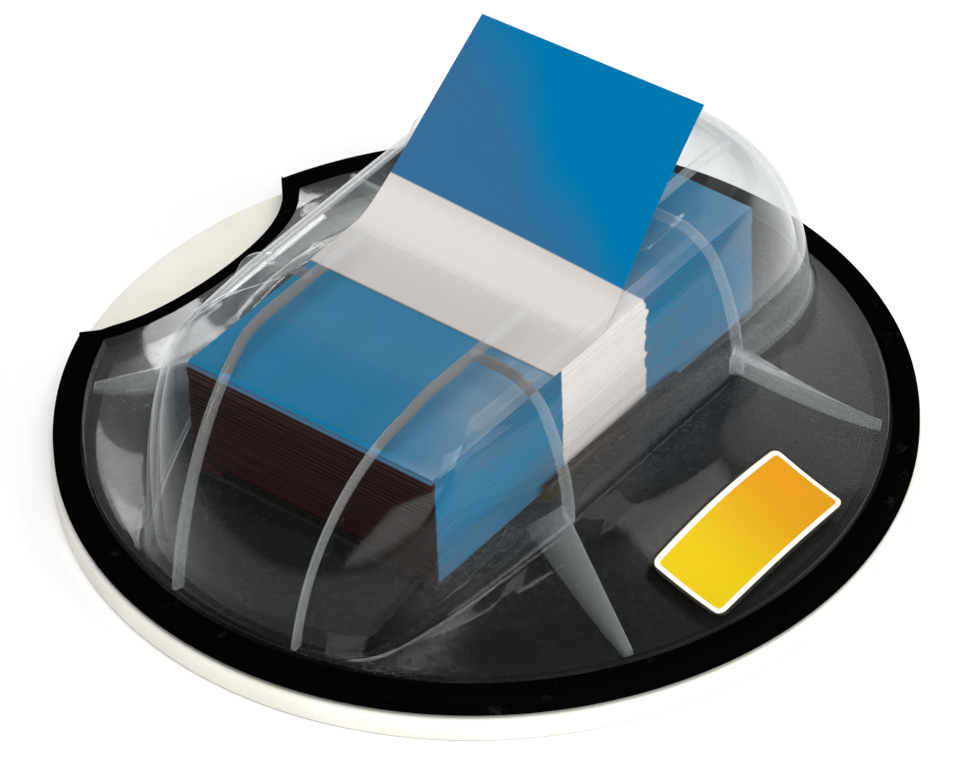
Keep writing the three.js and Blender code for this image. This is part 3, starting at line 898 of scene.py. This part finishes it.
@dataclass
class Cover:
    """The clear cover: skirt and housing in one even wall, with ribs, fins and the waved slot."""

    housing: Housing = field(default_factory=Housing)
    edge_radius: float = 33.7
    slot_half: float = 13.3
    slot_front: float = -4.6
    slot_back: float = 7.0
    wave: float = 0.4
    waves: int = 3
    fillet: float = 0.7
    rib_width: float = 0.54
    rib_rise: float = 0.45
    rib_sink: float = 0.5
    rib_crown: float = 0.55
    rib_across: float = 8.4
    rib_foot: float = 6.0
    rib_bend: float = -20.0
    rib_back: float = 23.0
    fin_root: tuple[float, float] = (16.9, 11.8)
    fin_tip: tuple[float, float] = (28.1, 17.3)
    fin_rise: float = 1.1
    fin_width: tuple[float, float] = (3.1, 0.5)
    fin_offsets: tuple[float, ...] = (-0.35, -0.3, -0.16, 0.16, 0.4)
    fin_drops: tuple[float, float, float] = (0.18, 0.2, 0.25)
    fin_sink: float = 0.45
    fin_haze: tuple[float, ...] = (0.9, 1.2, 1.6, 1.6, 0.75, 0.3, 0.3)
    edge_haze: float = 0.3
    fillet_haze: float = 0.06
    skirt_rows: int = 12
    fillet_rows: int = 4
    wall_rows: int = 30
    shoulder_rows: int = 12
    roof_rows: int = 5
    front_points: int = 60
    back_points: int = 40
    cross_points: int = 44
    top_points: int = 8
    fin_points: int = 16

    def stations(self) -> tuple[np.ndarray, np.ndarray, np.ndarray]:
        """Lists the columns once round from the front's middle, anticlockwise from above.

        Returns:
            Stretch, place and side sign of each column.
        """
        mid = self.housing.mid_half
        straight = np.concatenate([np.linspace(-mid, self.slot_front, 9),
                                   np.linspace(self.slot_front, self.slot_back, 15)[1:],
                                   np.linspace(self.slot_back, mid, 7)[1:]])
        runs = [(Stretch.FRONT, np.linspace(0, 1 - self.housing.corner_share, 13)),
                (Stretch.TURN, np.linspace(0, 1, 8)[1:]),
                (Stretch.FLANK, np.linspace(self.housing.corner_share, 1, 10)[1:-1]),
                (Stretch.STRAIGHT, straight), (Stretch.TAIL, np.linspace(0, 1, 24)[1:])]
        stretch = np.concatenate([np.full(len(run), kind.value) for kind, run in runs])
        place = np.concatenate([run for _, run in runs])
        back = slice(-2, 0, -1)
        return (np.concatenate([stretch, stretch[back]]), np.concatenate([place, place[back]]),
                np.concatenate([np.ones(len(place)), -np.ones(len(place) - 2)]))

    def slot_level(self) -> float:
        """Angle of the rise at which the housing is as wide as the slot, found by halving.

        Returns:
            The angle, whose sine is the rise.
        """
        low, high = math.radians(45), math.radians(89)
        for _ in range(40):
            middle = (low + high) / 2
            wider = float(self.housing.side(np.array(math.sin(middle)))) > self.slot_half
            low, high = (middle, high) if wider else (low, middle)
        return low

    def skirt(self, joint: np.ndarray) -> np.ndarray:
        """Runs in straight plan lines from the skirt's edge to just outside the housing's foot.

        The stations nearest to the notch's two ends on the edge move onto them.

        Args:
            joint: Where each station's wall comes out of the skirt.

        Returns:
            Rows of points from the edge inwards.
        """
        angle = np.arctan2(joint[:, 1], joint[:, 0])
        notch = NOTCH_RADIUS + LIP_WIDTH + CLEARANCE
        middle = math.atan2(NOTCH_MIDDLE[1], NOTCH_MIDDLE[0])
        for way in (-1, 1):
            target = middle + way * circle_cut(self.edge_radius, notch)
            gap = np.abs((angle - target + np.pi) % (2 * np.pi) - np.pi)
            angle[np.argmin(gap)] = target
        reach = np.minimum(self.edge_radius, notch_reach(angle, np.full_like(angle, notch)))
        edge = np.stack([reach * np.cos(angle), reach * np.sin(angle)], axis=-1)
        width = np.linalg.norm(edge - joint[:, :2], axis=-1)
        short = np.minimum(self.fillet, 0.5 * width)
        inner = joint[:, :2] + (edge - joint[:, :2]) * (short / np.maximum(width, 1e-9))[:, None]
        plan = mix(edge, inner, np.linspace(0, 1, self.skirt_rows)[:, None, None])
        return np.concatenate([plan, skirt_height(np.linalg.norm(plan, axis=-1))[..., None]], axis=-1)

    def roof(self, stretch: np.ndarray, place: np.ndarray, flip: np.ndarray, level: float) -> list[Patch]:
        """The wall's top in front of the slot and behind it, whose edge is waved.

        Args:
            stretch: Which stretch each station is in.
            place: The station's place in its stretch.
            flip: What turns each station's point over to its side.
            level: Angle of the rise at which the roof starts.

        Returns:
            The two patches.
        """
        straight = stretch == Stretch.STRAIGHT.value
        ends = {(way, y): int(np.flatnonzero(straight & (flip[:, 0] == way) & np.isclose(place, y))[0])
                for way in (1, -1) for y in (self.slot_front, self.slot_back)}
        count = len(place)
        front = np.arange(ends[-1, self.slot_front], ends[1, self.slot_front] + count + 1) % count
        back = np.arange(ends[1, self.slot_back], ends[-1, self.slot_back] + 1)
        rise = np.sin(np.linspace(level, np.pi / 2, self.shoulder_rows))[:, None]
        patches = []
        for group, way in ((front, 1), (back, -1)):
            upper = self.housing.point(rise, stretch[group], place[group]) * flip[group]
            ring = upper[-1]
            along = np.linspace(0, 1, len(group))
            across = mix(-1.0, 1.0, along) * abs(ring[0, 0]) * way
            wave = self.wave * (1 - np.cos(2 * np.pi * self.waves * along)) / 2
            rim = np.full(len(group), self.slot_front) if way == 1 else self.slot_back - wave
            target = np.stack([across, rim, np.full(len(group), HOUSING_TOP)], axis=-1)
            flat = mix(ring, target, np.linspace(0, 1, self.roof_rows + 1)[1:, None, None])
            rows = np.concatenate([upper, flat])
            patches.append(weave(rows, haze=np.zeros((len(rows), 1))))
        return patches

    def shell(self) -> bpy.types.Mesh:
        """Outer surface on a grid of stations by rows, then thickened inwards.

        Rows run along the skirt to the housing's foot, round a small Bezier fillet, up the wall
        by equal steps of an angle whose sine is the rise, and across the flat top to the slot.

        Returns:
            The wall as one closed mesh.
        """
        stretch, place, sign = self.stations()
        flip = np.stack([sign, np.ones_like(sign), np.ones_like(sign)], axis=-1)
        foot = self.housing.foot(stretch, place)
        joint = self.housing.point(foot, stretch, place) * flip
        joint[:, 2] = skirt_height(np.hypot(joint[:, 0], joint[:, 1]))
        skirt = self.skirt(joint)
        above = foot + self.fillet / (HOUSING_TOP - RIM_TOP)
        wall_foot = self.housing.point(above, stretch, place) * flip
        turn = np.linspace(0, 1, self.fillet_rows + 2)[1:-1, None, None]
        curve = (1 - turn) ** 2 * skirt[-1] + 2 * turn * (1 - turn) * joint + turn ** 2 * wall_foot
        level = self.slot_level()
        steps = np.linspace(0, 1, self.wall_rows)[:, None]
        wall = self.housing.point(np.sin(mix(np.arcsin(above), level, steps)), stretch, place) * flip
        haze = np.concatenate([np.linspace(self.edge_haze, 0, self.skirt_rows) ** 2,
                               np.full(self.fillet_rows, self.fillet_haze), np.zeros(self.wall_rows)])
        lower = weave(np.concatenate([skirt, curve, wall]), wrap=True,
                      haze=haze[:, None] * np.ones(len(place)))
        patches = [lower] + self.roof(stretch, place, flip, level)
        return self.thicken(make_mesh("cover_wall", patches, outward=False))

    def thicken(self, mesh: bpy.types.Mesh) -> bpy.types.Mesh:
        """Gives the surface its even wall on the inside.

        Args:
            mesh: The outer surface.

        Returns:
            The closed wall.
        """
        item = bpy.data.objects.new("cover_wall", mesh)
        bpy.context.scene.collection.objects.link(item)
        wall = item.modifiers.new("wall", "SOLIDIFY")
        wall.thickness = WALL * MM
        wall.offset = -1.0
        wall.use_even_offset = True
        wall.thickness_clamp = 1.0
        finished = bpy.data.meshes.new_from_object(item.evaluated_get(bpy.context.evaluated_depsgraph_get()))
        bpy.data.objects.remove(item)
        return finished

    def rib(self, path: np.ndarray, level: np.ndarray) -> Patch:
        """Carries the section of a rib along a path: sunk foot, upright sides and a rounded crown.

        Args:
            path: Points along the way on the housing.
            level: A direction in the surface across the path, for all points or for each.

        Returns:
            The rib.
        """
        half = self.rib_width / 2
        crown_half, upright = self.rib_crown * half, self.rib_crown * self.rib_rise
        profile = np.array([(-half, -self.rib_sink), (half, -self.rib_sink), (half, upright),
                            (crown_half, self.rib_rise), (-crown_half, self.rib_rise), (-half, upright)])
        normal = unit(np.cross(level, unit(np.gradient(path, axis=0))))
        return strip(path, normal, profile, haze=1.0)

    def top_run(self, start: float, end: float) -> np.ndarray:
        """Points along the flat top at the long ribs' place across.

        Args:
            start: The place along the tabs that the points leave from, itself left out.
            end: The place of the last point.

        Returns:
            The points.
        """
        along = np.linspace(start, end, self.top_points + 1)[1:]
        return np.stack([np.full_like(along, self.rib_across), along, np.full_like(along, HOUSING_TOP)],
                        axis=-1)

    def front_rib(self) -> Patch:
        """Long rib from the front foot up the front wall to the slot.

        At each rise its place across is a line in plan that closes in below a bend, and its
        place along is the front wall's there; a few rounds of substitution settle the two.

        Returns:
            The rib for positive X.
        """
        rise = np.sin(np.linspace(math.radians(0.6), np.pi / 2, self.front_points))
        front, corner = self.housing.ends(rise)[0], self.housing.corner(rise)
        across = np.full_like(rise, self.rib_across)
        for _ in range(12):
            share = across / corner[0]
            along = mix(front, corner[1], share ** 2)
            closing = np.clip((self.rib_bend - along) / (self.rib_bend + self.edge_radius), 0, 1)
            across = mix(self.rib_across, self.rib_foot, closing)
        wall = np.stack([across, along, self.housing.height(rise)], axis=-1)
        slope = np.stack([corner[0], 2 * (corner[1] - front) * share, np.zeros_like(rise)], axis=-1)
        top = self.top_run(along[-1], self.slot_front)
        level = np.concatenate([unit(slope), np.tile([1.0, 0.0, 0.0], (len(top), 1))])
        return self.rib(np.concatenate([wall, top]), level)

    def back_rib(self) -> Patch:
        """Long rib from the slot over the top and a little way down the back.

        Down the back its place along the tail's curve is found by halving, for a fixed place across.

        Returns:
            The rib for positive X.
        """
        rise = np.sin(np.linspace(math.radians(62), np.pi / 2, self.back_points))
        tail = np.full(len(rise), Stretch.TAIL.value)
        low, high = np.zeros_like(rise), np.ones_like(rise)
        for _ in range(30):
            middle = (low + high) / 2
            wide = self.housing.point(rise, tail, middle)[:, 0] > self.rib_across
            low, high = np.where(wide, middle, low), np.where(wide, high, middle)
        wall = self.housing.point(rise, tail, low)
        wall[:, 0] = self.rib_across
        wall = wall[wall[:, 1] <= self.rib_back]
        path = np.concatenate([wall, self.top_run(wall[-1, 1], self.slot_back)])
        return self.rib(path, np.array([-1.0, 0.0, 0.0]))

    def cross_rib(self, along: float) -> Patch:
        """Rib over one shoulder and down the straight side, in an upright plane.

        Args:
            along: The plane's place along the tabs.

        Returns:
            The rib for positive X.
        """
        low = math.asin((CROWN_TOP - RIM_TOP) / (HOUSING_TOP - RIM_TOP))
        rise = np.sin(np.linspace(low, np.pi / 2, self.cross_points))
        across = self.housing.side(rise)
        across = np.concatenate([across, np.linspace(across[-1], self.rib_across, 6)[1:]])
        height = np.concatenate([self.housing.height(rise), np.full(5, HOUSING_TOP)])
        path = np.stack([across, np.full_like(across, along), height], axis=-1)
        return self.rib(path, np.array([0.0, 1.0, 0.0]))

    def fin(self, end: int) -> Patch:
        """Buttress fin: a straight crest down to its tip, a steep face and a wide slope.

        Rows run from root to tip; the crest's height is a straight line, and the slope's foot
        lies on the skirt at a distance that narrows to the tip.

        Args:
            end: 1 behind the middle, -1 in front of it.

        Returns:
            The fin for positive X.
        """
        share = np.linspace(0, 1, self.fin_points)
        root = np.array([self.fin_root[0], end * (self.fin_root[1] - 0.3)])
        tip = np.array([self.fin_tip[0], end * self.fin_tip[1]])
        plan = mix(root, tip, share[:, None])
        away = np.array([-(tip - root)[1], (tip - root)[0]]) * end
        away = away / np.linalg.norm(away)
        tip_top = float(skirt_height(np.hypot(*tip))) + self.fin_rise / 4
        crest = mix(CROWN_TOP + self.fin_rise, tip_top, share)
        width = mix(*self.fin_width, share)[:, None]
        offsets = np.concatenate([np.tile(self.fin_offsets, (self.fin_points, 1)), width, width], axis=1)
        grid_plan = plan[:, None] + away * offsets[..., None]
        ground = skirt_height(np.linalg.norm(grid_plan, axis=-1))
        sunk = ground - self.fin_sink
        face_drop, slope_drop, foot_drop = self.fin_drops
        foot = np.minimum(ground[:, 5] + 0.02, crest - foot_drop)
        heights = np.stack([sunk[:, 0], crest - face_drop, crest, crest, crest - slope_drop, foot,
                            sunk[:, 6]], axis=-1)
        grid = np.concatenate([grid_plan, np.maximum(heights, sunk)[..., None]], axis=-1)
        patch = weave(grid, wrap=True, haze=np.tile(self.fin_haze, (self.fin_points, 1)))
        count = len(self.fin_haze)
        last = (self.fin_points - 1) * count
        patch.faces += [list(range(count))[::-1], list(range(last, last + count))]
        return patch

    def build(self) -> bpy.types.Object:
        """Joins the wall, the ribs and the fins into the finished cover.

        Returns:
            The cover.
        """
        mid = self.housing.mid_half - self.rib_width / 2
        right = [self.front_rib(), self.back_rib(), self.cross_rib(mid), self.cross_rib(-mid),
                 self.fin(1), self.fin(-1)]
        trim = make_mesh("cover_ribs", right + [patch.mirrored() for patch in right], outward=True)
        work = bmesh.new()
        for part in (self.shell(), trim):
            work.from_mesh(part)
        mesh = bpy.data.meshes.new("clear_cover")
        work.to_mesh(mesh)
        work.free()
        item = place("clear_cover", mesh, [ClearPlastic().material()])
        settle(item, ["cover"])
        return item


@dataclass
class Base:
    """The black disc: rim, seat, low dome, finger notch with its lip, pad floor and fences."""

    foot_round: float = 0.5
    rim_round: float = 0.7
    seat_height: float = 3.1
    seat_inner: float = 32.4
    seat_step: float = 0.05
    lip_rise: float = 0.3
    lip_round: float = 0.3
    lip_fade: float = 34.6
    brow: tuple[float, float] = (0.25, 0.07)
    fence_foot: float = 3.0
    fence_rise: float = 1.4
    fence_half: float = 9.0
    fence_thick: float = 0.8
    floor_gap: float = 0.03
    pocket_edge: float = 0.18
    columns: int = 200
    notch_columns: int = 44
    round_rows: int = 6
    dome_rows: int = 26

    def disc(self) -> list[Patch]:
        """Radial columns from the underside's middle, round the edge and over the dome.

        A column outside the notch carries the rim's profile; one inside it starts where its ray
        meets the notch and carries the lip's. Both have as many rows, so they share one grid.

        Returns:
            Patches of rim and dome.
        """
        middle = math.atan2(NOTCH_MIDDLE[1], NOTCH_MIDDLE[0])
        cut = circle_cut(DISC_RADIUS, NOTCH_RADIUS)
        outer = np.linspace(middle + cut, middle + 2 * np.pi - cut, self.columns)
        inner = np.linspace(middle - cut, middle + cut, self.notch_columns)
        turn = np.radians(np.linspace(0, 90, self.round_rows))
        size, cut = self.brow
        inward = np.linspace(1, 0, self.dome_rows)
        rim_r = np.concatenate([[0, DISC_RADIUS - self.foot_round, DISC_RADIUS],
                                DISC_RADIUS - self.rim_round * (1 - np.cos(turn)),
                                [RIM_INNER + size, RIM_INNER + cut, RIM_INNER, RIM_INNER, self.seat_inner]])
        rim_z = np.concatenate([[GRIP_TOP, GRIP_TOP, GRIP_TOP + self.foot_round],
                                RIM_TOP - self.rim_round * (1 - np.sin(turn)),
                                [RIM_TOP, RIM_TOP - cut, RIM_TOP - size, self.seat_height,
                                 self.seat_height]])
        dome_r = (self.seat_inner - self.seat_step) * inward
        radius = np.concatenate([rim_r, dome_r])[:, None] * np.ones(self.columns)
        height = np.concatenate([rim_z, self.dome(dome_r)])[:, None] * np.ones(self.columns)
        lip = np.concatenate([[0, 0, 0], self.lip_round * (1 - np.cos(turn)),
                              [LIP_WIDTH - self.lip_round, LIP_WIDTH - cut, LIP_WIDTH, LIP_WIDTH,
                               LIP_WIDTH + 2 * self.seat_step]])
        drop = np.concatenate([[0, 0, 0], self.lip_round * (1 - np.sin(turn)), [0, cut, size]])
        rim_rows = len(drop)
        reach = notch_reach(inner, (NOTCH_RADIUS + lip)[:, None] * np.ones(self.notch_columns))
        crest = skirt_height(reach) + self.lip_rise * np.clip(self.lip_fade - reach, 0, 1)
        notch_z = np.concatenate([crest[:rim_rows] - drop[:, None], self.dome(reach[rim_rows:])])
        notch_z[:3] = rim_z[:3, None]
        notch_dome = reach[-1] * inward[:, None]
        reach[0] = 0.0
        inner_r = np.concatenate([reach, notch_dome])
        inner_z = np.concatenate([notch_z, self.dome(notch_dome)])
        angle = np.concatenate([outer, inner])
        radius = np.concatenate([radius, inner_r], axis=1)
        height = np.concatenate([height, inner_z], axis=1)
        grid = np.stack([radius * np.cos(angle), radius * np.sin(angle), height], axis=-1)
        return [weave(grid[:rim_rows + 1], wrap=True, finish=0), weave(grid[rim_rows:], wrap=True, finish=1)]

    def dome(self, radius: np.ndarray) -> np.ndarray:
        """Returns the dome's height: the skirt's, less wall and clearance, level under the pad."""
        return np.minimum(skirt_height(radius) - WALL - CLEARANCE, PAD_FLOOR)

    def pocket(self) -> list[Patch]:
        """Pad floor and the four low fences round it.

        Returns:
            Five boxes.
        """
        half_x, half_y = PAD_HALF[0] + CLEARANCE, PAD_HALF[1] + CLEARANCE
        low, high = self.fence_foot, PAD_FLOOR + self.fence_rise
        run, thick = self.fence_half, self.fence_thick
        walls = [block((-PAD_HALF[0], PAD_MIDDLE - PAD_HALF[1], low),
                       (PAD_HALF[0], PAD_MIDDLE + PAD_HALF[1], PAD_FLOOR - self.floor_gap))]
        for way in (-1, 1):
            x0, x1 = sorted((way * half_x, way * (half_x + thick)))
            y0, y1 = sorted((PAD_MIDDLE + way * half_y, PAD_MIDDLE + way * (half_y + thick)))
            walls += [block((x0, -run, low), (x1, run, high)), block((-run, y0, low), (run, y1, high))]
        return walls

    def build(self) -> list[bpy.types.Object]:
        """Makes the disc, and the pocket with rounded edges.

        Returns:
            The disc and the pocket.
        """
        dome = DomeBlack().material()
        disc = place("base_disc", make_mesh("base_disc", self.disc(), outward=True),
                     [RimBlack().material(), dome])
        settle(disc, ["base"])
        pocket = place("pad_pocket", make_mesh("pad_pocket", self.pocket(), outward=True), [dome])
        edge = pocket.modifiers.new("edge", "BEVEL")
        edge.width = self.pocket_edge * MM
        edge.segments = 2
        settle(pocket, [])
        return [disc, pocket]


@dataclass
class GripPad:
    """The pale round non-slip pad under the disc."""

    radius: float = 36.5
    edge: float = 0.5
    rings: tuple[float, float, float] = (0.0, 12.0, 24.0)
    columns: int = 220

    def build(self) -> bpy.types.Object:
        """Turns a rounded profile about the axis: both rims are quarter circles.

        Returns:
            The grip pad.
        """
        turn = np.radians(np.linspace(-90, 90, 13))
        inset = self.edge * (1 - np.cos(turn))
        half = GRIP_TOP / 2 - self.edge
        radius = np.concatenate([self.rings, self.radius - inset, self.rings[::-1]])
        height = np.concatenate([[0, 0, 0], GRIP_TOP / 2 + half * np.sign(turn) + self.edge * np.sin(turn),
                                 [GRIP_TOP] * 3])
        angle = np.linspace(0, 2 * np.pi, self.columns, endpoint=False)
        grid = np.stack([radius[:, None] * np.cos(angle), radius[:, None] * np.sin(angle),
                         height[:, None] * np.ones(self.columns)], axis=-1)
        item = place("foam_grip_pad", make_mesh("foam_grip_pad", [weave(grid, wrap=True)], outward=True),
                     [PaleFoam().material()])
        settle(item, ["grip_pad"])
        return item


@dataclass
class TabPad:
    """The pad of tabs: thin leaves that don't quite line up at their edges."""

    leaves: int = 50
    slip: float = 0.09
    end_slip: float = 0.16
    stagger: float = 0.12
    gap: float = 0.02

    def build(self) -> bpy.types.Object:
        """Stacks the leaves, each a thin plate shifted by a small seeded amount.

        Returns:
            The pad.
        """
        draw = np.random.default_rng(SEED)
        levels = np.linspace(PAD_FLOOR, PAD_TOP, self.leaves + 1)
        shift = draw.uniform(-self.slip, self.slip, (self.leaves, 2))
        stagger = self.stagger * (np.arange(self.leaves) % 2)[:, None]
        ends = draw.uniform(0, self.end_slip, (self.leaves, 2)) + stagger
        leaves = [block((-PAD_HALF[0] + abs(shift[i, 0]), PAD_MIDDLE - PAD_HALF[1] + ends[i, 0], levels[i]),
                        (PAD_HALF[0] - abs(shift[i, 1]), PAD_MIDDLE + PAD_HALF[1] - ends[i, 1],
                         levels[i + 1] - self.gap)) for i in range(self.leaves)]
        item = place("tab_pad_leaves", make_mesh("tab_pad_leaves", leaves, outward=True),
                     [PadStack().material()])
        settle(item, ["tab_pad"])
        return item


@dataclass
class RaisedTab:
    """The top tab, flat on the pad up to its lift and then ruled between two curved edges."""

    flat: float = 21.2
    lift: float = -0.7
    thickness: float = 0.12
    lay: float = 0.01
    columns: int = 21
    flat_rows: int = 12
    bent_rows: int = 61
    left: tuple[tuple[float, float], ...] = ((0, 0), (2.7, 0.05), (6.2, 3.2), (17.8, 10.8))
    right: tuple[tuple[float, float], ...] = ((0, 0), (2.1, 0.05), (3.1, 4.3), (14.7, 14.8))

    def edge(self, controls: Sequence[tuple[float, float]], share: np.ndarray) -> np.ndarray:
        """Cubic Bezier through four controls, by repeated mixing.

        Args:
            controls: Places along and up, from the lift.
            share: Shares of the curve.

        Returns:
            Points, along and up.
        """
        points = [np.array(spot, dtype=float) for spot in controls]
        while len(points) > 1:
            points = [mix(a, b, share[:, None]) for a, b in zip(points[:-1], points[1:])]
        return points[0]

    def build(self) -> bpy.types.Object:
        """Rules straight lines between the two edges, then adds the film's thickness.

        Returns:
            The tab.
        """
        across = np.linspace(0, 1, self.columns)
        share = np.linspace(0, 1, self.bent_rows)
        left, right = self.edge(self.left, share), self.edge(self.right, share)
        bent = mix(left[:, None], right[:, None], across[:, None])
        run = np.linalg.norm(np.diff(bent, axis=0, prepend=bent[:1]), axis=-1).cumsum(axis=0)
        flat_y = np.linspace(-self.flat, 0, self.flat_rows)[:-1, None] * np.ones(self.columns)
        plan = np.concatenate([np.stack([flat_y, np.zeros_like(flat_y)], axis=-1), bent])
        along = np.concatenate([flat_y + self.flat, run + self.flat])
        x = mix(-PAD_HALF[0], PAD_HALF[0], across) * np.ones((len(plan), 1))
        base = np.stack([x, plan[..., 0] + self.lift, plan[..., 1] + PAD_TOP], axis=-1)
        up = unit(np.cross(np.tile([1.0, 0.0, 0.0], base.shape[:2] + (1,)), np.gradient(base, axis=0)))
        sheet = slab(base + up * self.lay, base + up * self.thickness,
                     along=along, across=across * np.ones_like(along))
        item = place("raised_film_tab", make_mesh("raised_film_tab", [sheet], outward=True),
                     [TabFilm().material()], sharp=50)
        settle(item, ["raised_tab"])
        return item


@dataclass
class Label:
    """The plain label with round corners on the skirt."""

    length: float = 17.5
    width: float = 7.4
    corner: float = 1.0
    middle: tuple[float, float] = (28.1, -1.2)
    low: float = 0.02
    high: float = 0.16
    rows: int = 49
    columns: int = 21
    end_bunch: float = 0.15

    def build(self) -> bpy.types.Object:
        """Lays a grid with rounded corners on the skirt, as a plate with a hem.

        The grid's half width shrinks by a quarter circle near each end, and its height is the
        skirt's at each point's radius.

        Returns:
            The label.
        """
        even = np.linspace(-1, 1, self.rows)
        along = mix(even, np.sin(even * np.pi / 2), self.end_bunch)
        y = along[:, None] * self.length / 2 * np.ones(self.columns)
        into = np.clip(np.abs(y) - (self.length / 2 - self.corner), 0, self.corner)
        trim = self.corner - np.sqrt(np.maximum(0, self.corner ** 2 - into ** 2))
        half = self.width / 2 - trim
        x = np.linspace(-1, 1, self.columns) * half
        edge = np.minimum(half - np.abs(x), self.length / 2 - np.abs(y))
        spot = np.stack([self.middle[0] + x, self.middle[1] + y], axis=-1)
        ground = skirt_height(np.linalg.norm(spot, axis=-1))
        bottom, top = (np.concatenate([spot, (ground + lift)[..., None]], axis=-1)
                       for lift in (self.low, self.high))
        plate = slab(bottom, top, edge=edge, along=(along[:, None] + 1) / 2 * np.ones(self.columns))
        item = place("plain_label", make_mesh("plain_label", [plate], outward=True),
                     [LabelPrint().material()])
        settle(item, ["blank_label"])
        return item


@dataclass(frozen=True)
class Panel:
    """One soft light: its place, size and aim in metres and its power in watts."""

    name: str
    spot: tuple[float, float, float]
    size: tuple[float, float]
    power: float
    aim: tuple[float, float, float] = (0.0, 0.0, 0.01)

    def hang(self) -> None:
        """Puts the panel in the scene, turned to what it lights."""
        lamp = bpy.data.lights.new(self.name, "AREA")
        lamp.shape = "RECTANGLE"
        lamp.size, lamp.size_y = self.size
        lamp.energy = self.power
        item = bpy.data.objects.new(self.name, lamp)
        item.location = self.spot
        item.rotation_euler = (Vector(self.aim) - Vector(self.spot)).to_track_quat("-Z", "Y").to_euler()
        bpy.context.scene.collection.objects.link(item)


@dataclass
class Studio:
    """Floor, soft light and the camera at the photograph's viewing angle."""

    floor_half: float = 3.0
    world: float = 0.2
    lens: float = 268.64
    spot: tuple[float, float, float] = (0.29170728, -0.35552589, 0.39589026)
    right: tuple[float, float, float] = (0.78843211, 0.61440838, -0.02961678)
    up: tuple[float, float, float] = (-0.37973657, 0.5240406, 0.76235267)
    panels: tuple[Panel, ...] = (
        Panel("overhead", (0.35, -0.3, 0.85), (0.6, 0.6), 6.7, (0.0, 0.0, 0.0)),
        Panel("left_panel", (-0.62, 0.22, 0.56), (0.16, 0.16), 0.7),
        Panel("notch_panel", (-0.66, 0.42, 0.22), (0.3, 0.16), 1.2),
        Panel("back_panel", (-0.08, 0.78, 0.5), (0.6, 0.4), 0.6),
        Panel("high_back_panel", (0.3, 0.42, 0.75), (0.35, 0.35), 1.0),
        Panel("right_panel", (0.65, 0.1, 0.3), (0.5, 0.4), 2.4),
        Panel("front_panel", (0.3, -0.75, 0.25), (0.6, 0.4), 1.8))

    def floor(self) -> None:
        """Lays the pale floor."""
        half = self.floor_half / MM
        grid = np.array([[(-half, -half, 0.0), (half, -half, 0.0)], [(-half, half, 0.0), (half, half, 0.0)]])
        item = place("floor", make_mesh("floor", [weave(grid)], outward=False), [StudioFloor().material()])

    def camera(self) -> None:
        """Sets the fitted camera from its place and its two image axes."""
        lens = bpy.data.cameras.new("camera")
        lens.sensor_fit = "HORIZONTAL"
        lens.sensor_width = 36.0
        lens.lens = self.lens
        lens.clip_start = 0.01
        item = bpy.data.objects.new("camera", lens)
        right, up = Vector(self.right), Vector(self.up)
        item.location = self.spot
        item.rotation_euler = Matrix((right, up, right.cross(up))).transposed().to_euler()
        bpy.context.scene.collection.objects.link(item)
        bpy.context.scene.camera = item

    def build(self) -> None:
        """Sets up the whole studio."""
        scene = bpy.context.scene
        scene.view_settings.view_transform = "Standard"
        scene.world = bpy.data.worlds.new("studio")
        scene.world.use_nodes = True
        sky = scene.world.node_tree.nodes["Background"]
        sky.inputs["Color"].default_value = (1.0, 1.0, 1.0, 1.0)
        sky.inputs["Strength"].default_value = self.world
        self.floor()
        self.camera()
        for panel in self.panels:
            panel.hang()


def main() -> None:
    """Builds the studio and every sub-assembly in order."""
    logging.basicConfig(level=logging.INFO, format="%(name)s %(message)s")
    Studio().build()
    for assembly in (GripPad(), Base(), TabPad(), RaisedTab(), Cover(), Label()):
        assembly.build()
        LOG.info("%s is in place", type(assembly).__name__)
    bpy.context.view_layer.update()


if __name__ == "__main__":
    main()
